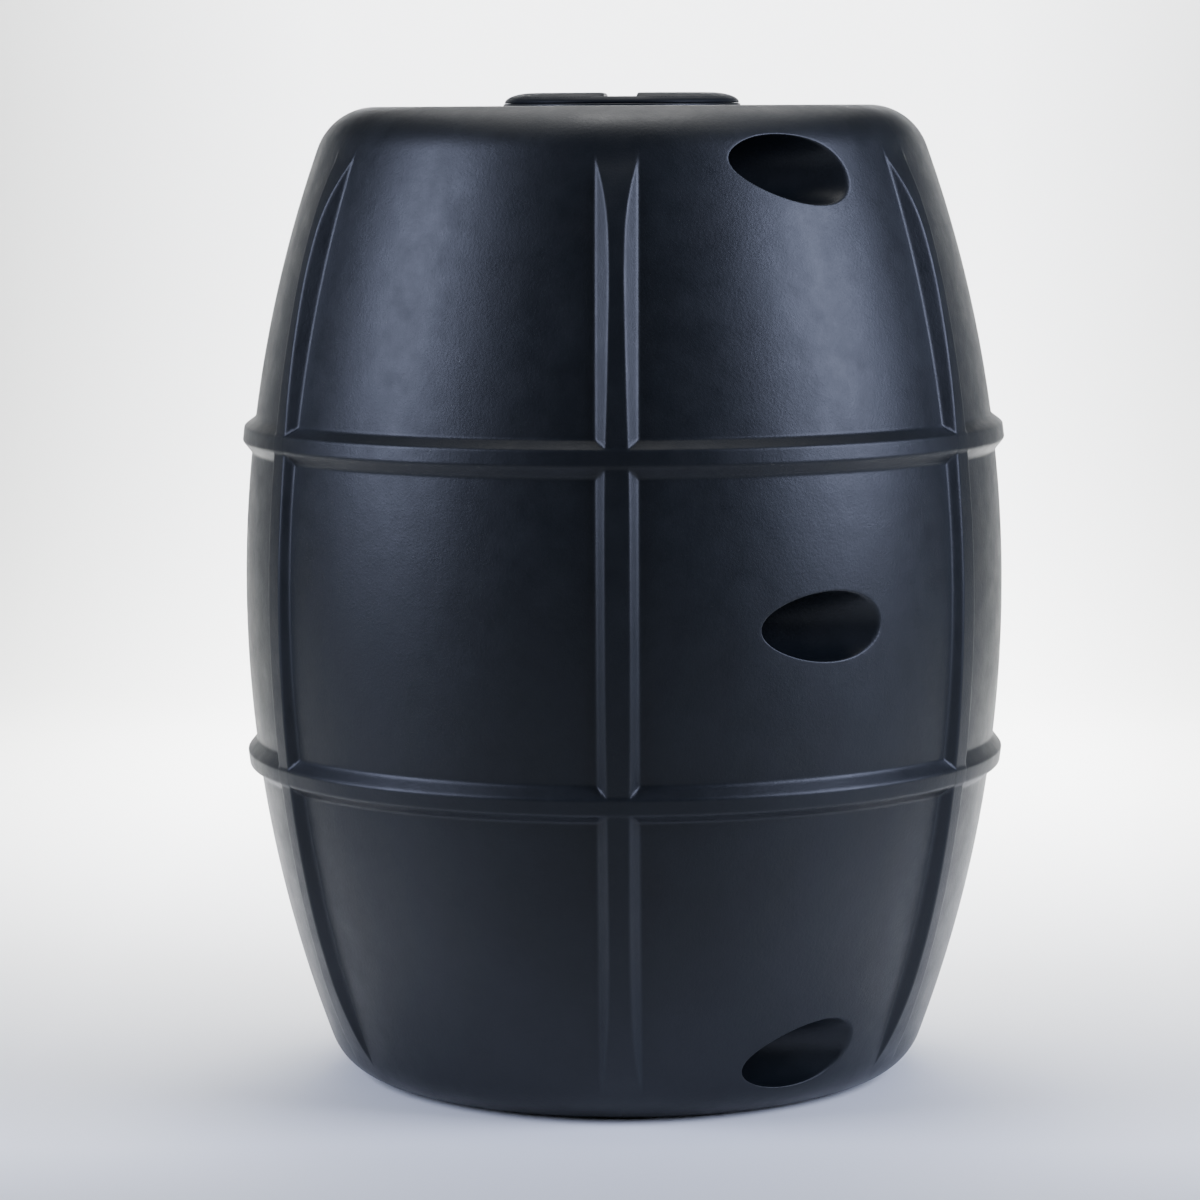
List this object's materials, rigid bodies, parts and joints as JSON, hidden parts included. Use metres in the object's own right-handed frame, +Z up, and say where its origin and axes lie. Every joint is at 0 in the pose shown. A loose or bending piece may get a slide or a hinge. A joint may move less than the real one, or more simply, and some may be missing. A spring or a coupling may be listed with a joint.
{
  "type": "moulded plastic water barrel",
  "caption": "Black moulded plastic barrel with hoops, upright ribs, blind hand pockets in its wall and a threaded screw lid in a neck ring on top.",
  "frame": {"origin": "centre of the base on the surface it stands on", "axes": "+Z up along the barrel's axis; -Y through the front rib; X along the hand pockets"},
  "size_m": [0.6232, 0.6332, 0.8025],
  "materials": {
    "barrel_plastic": "satin",
    "lid_plastic": "satin",
    "gasket_rubber": "matte",
    "screw_steel": "satin"
  },
  "bodies": {
    "barrel": {"barrel_shell": "barrel_plastic", "neck_gasket": "gasket_rubber", "neck_ring": "lid_plastic", "neck_screws": "screw_steel"},
    "seal": {"lid_seal": "gasket_rubber"},
    "lid": {"screw_lid": "lid_plastic"}
  },
  "joints": [
    {"name": "lid_rise", "type": "slide", "parent": "barrel", "child": "seal", "axis": [0, 0, 1], "range_m": [0, 0.0241]},
    {"name": "lid_turn", "type": "hinge", "parent": "seal", "child": "lid", "pos_m": [0, 0, 0.79], "axis": [0, 0, 1], "range_deg": [0, 720]}
  ],
  "couplings": [
    {"joint": "lid_rise", "follows": "lid_turn", "m_per_rad": 0.0019099}
  ]
}
